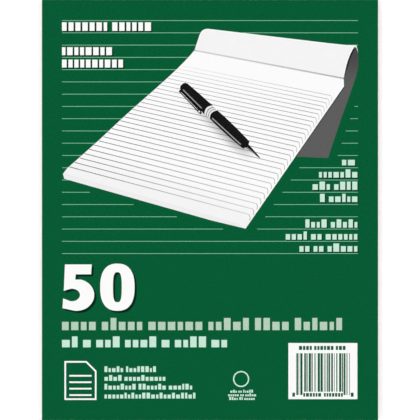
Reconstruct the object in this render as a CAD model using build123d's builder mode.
from build123d import *
import os

# A writing pad lying closed on a table: X runs across it, +Y to its bound head and +Z up
# Ruled sheets, trimmed to one size and counted up in the block
sheet_width = 203.2
sheet_length = 254.0
sheet_thickness = 0.085
sheet_count = 50

# Chipboard under the sheets, trimmed with them
board_thickness = 0.65

# Film of padding gum over the head of the sheets and the board
gum_thickness = 0.2

# Cover card, creased over the head and glued down behind the board as a flap
card_thickness = 0.25
flap_length = 19.0

# Levels, from the table up
board_underside = card_thickness
block_underside = board_underside + board_thickness
block_height = sheet_count * sheet_thickness
block_top = block_underside + block_height
cover_top = block_top + card_thickness

# Places along the pad, whose whole length is centred on the origin
pad_length = sheet_length + gum_thickness + card_thickness
tail = -pad_length / 2
head = tail + sheet_length
crease = head + gum_thickness
wrap_outside = crease + card_thickness
flap_end = crease - flap_length

# Planes at the middle of the trimmed sheets and of the cover's front panel
sheet_plane = Plane((0, (tail + head) / 2, 0))
panel_plane = Plane((0, (tail + crease) / 2, 0))

os.makedirs("parts", exist_ok=True)

# Block of ruled sheets, as one solid
with BuildPart() as ruled_sheets:
    with BuildSketch(sheet_plane.offset(block_underside)):
        Rectangle(sheet_width, sheet_length)
    extrude(amount=block_height)

# Chipboard back
with BuildPart() as backing_board:
    with BuildSketch(sheet_plane.offset(board_underside)):
        Rectangle(sheet_width, sheet_length)
    extrude(amount=board_thickness)

# Gum film on the head, from the board's underside to the top sheet
with BuildPart() as padding_gum:
    with BuildSketch(Plane.XZ.offset(-crease)):
        with Locations((0, (board_underside + block_top) / 2)):
            Rectangle(sheet_width, block_top - board_underside)
    extrude(amount=gum_thickness)

# Front panel of the cover card, which turns back at the crease
with BuildPart() as front_cover:
    with BuildSketch(panel_plane.offset(block_top)):
        Rectangle(sheet_width, crease - tail)
    extrude(amount=card_thickness)

# Rest of the card: round the top crease, down the head, round the bottom crease and under the board
with BuildPart() as cover_wrap:
    with BuildSketch(Plane.YZ):
        with BuildLine():
            top_fold = CenterArc((crease, block_top), card_thickness, 0, 90)
            bottom_fold = CenterArc((crease, board_underside), card_thickness, 270, 90)
            Line(bottom_fold @ 1, top_fold @ 0)
            Polyline(
                top_fold @ 1,
                (crease, board_underside),
                (flap_end, board_underside),
                (flap_end, 0),
                bottom_fold @ 0,
            )
        make_face()
    extrude(amount=sheet_width / 2, both=True)

ruled_sheets.part.label = "ruled_sheets"
export_step(ruled_sheets.part, "parts/ruled_sheets.step")

backing_board.part.label = "backing_board"
export_step(backing_board.part, "parts/backing_board.step")

padding_gum.part.label = "padding_gum"
export_step(padding_gum.part, "parts/padding_gum.step")

front_cover.part.label = "front_cover"
export_step(front_cover.part, "parts/front_cover.step")

cover_wrap.part.label = "cover_wrap"
export_step(cover_wrap.part, "parts/cover_wrap.step")
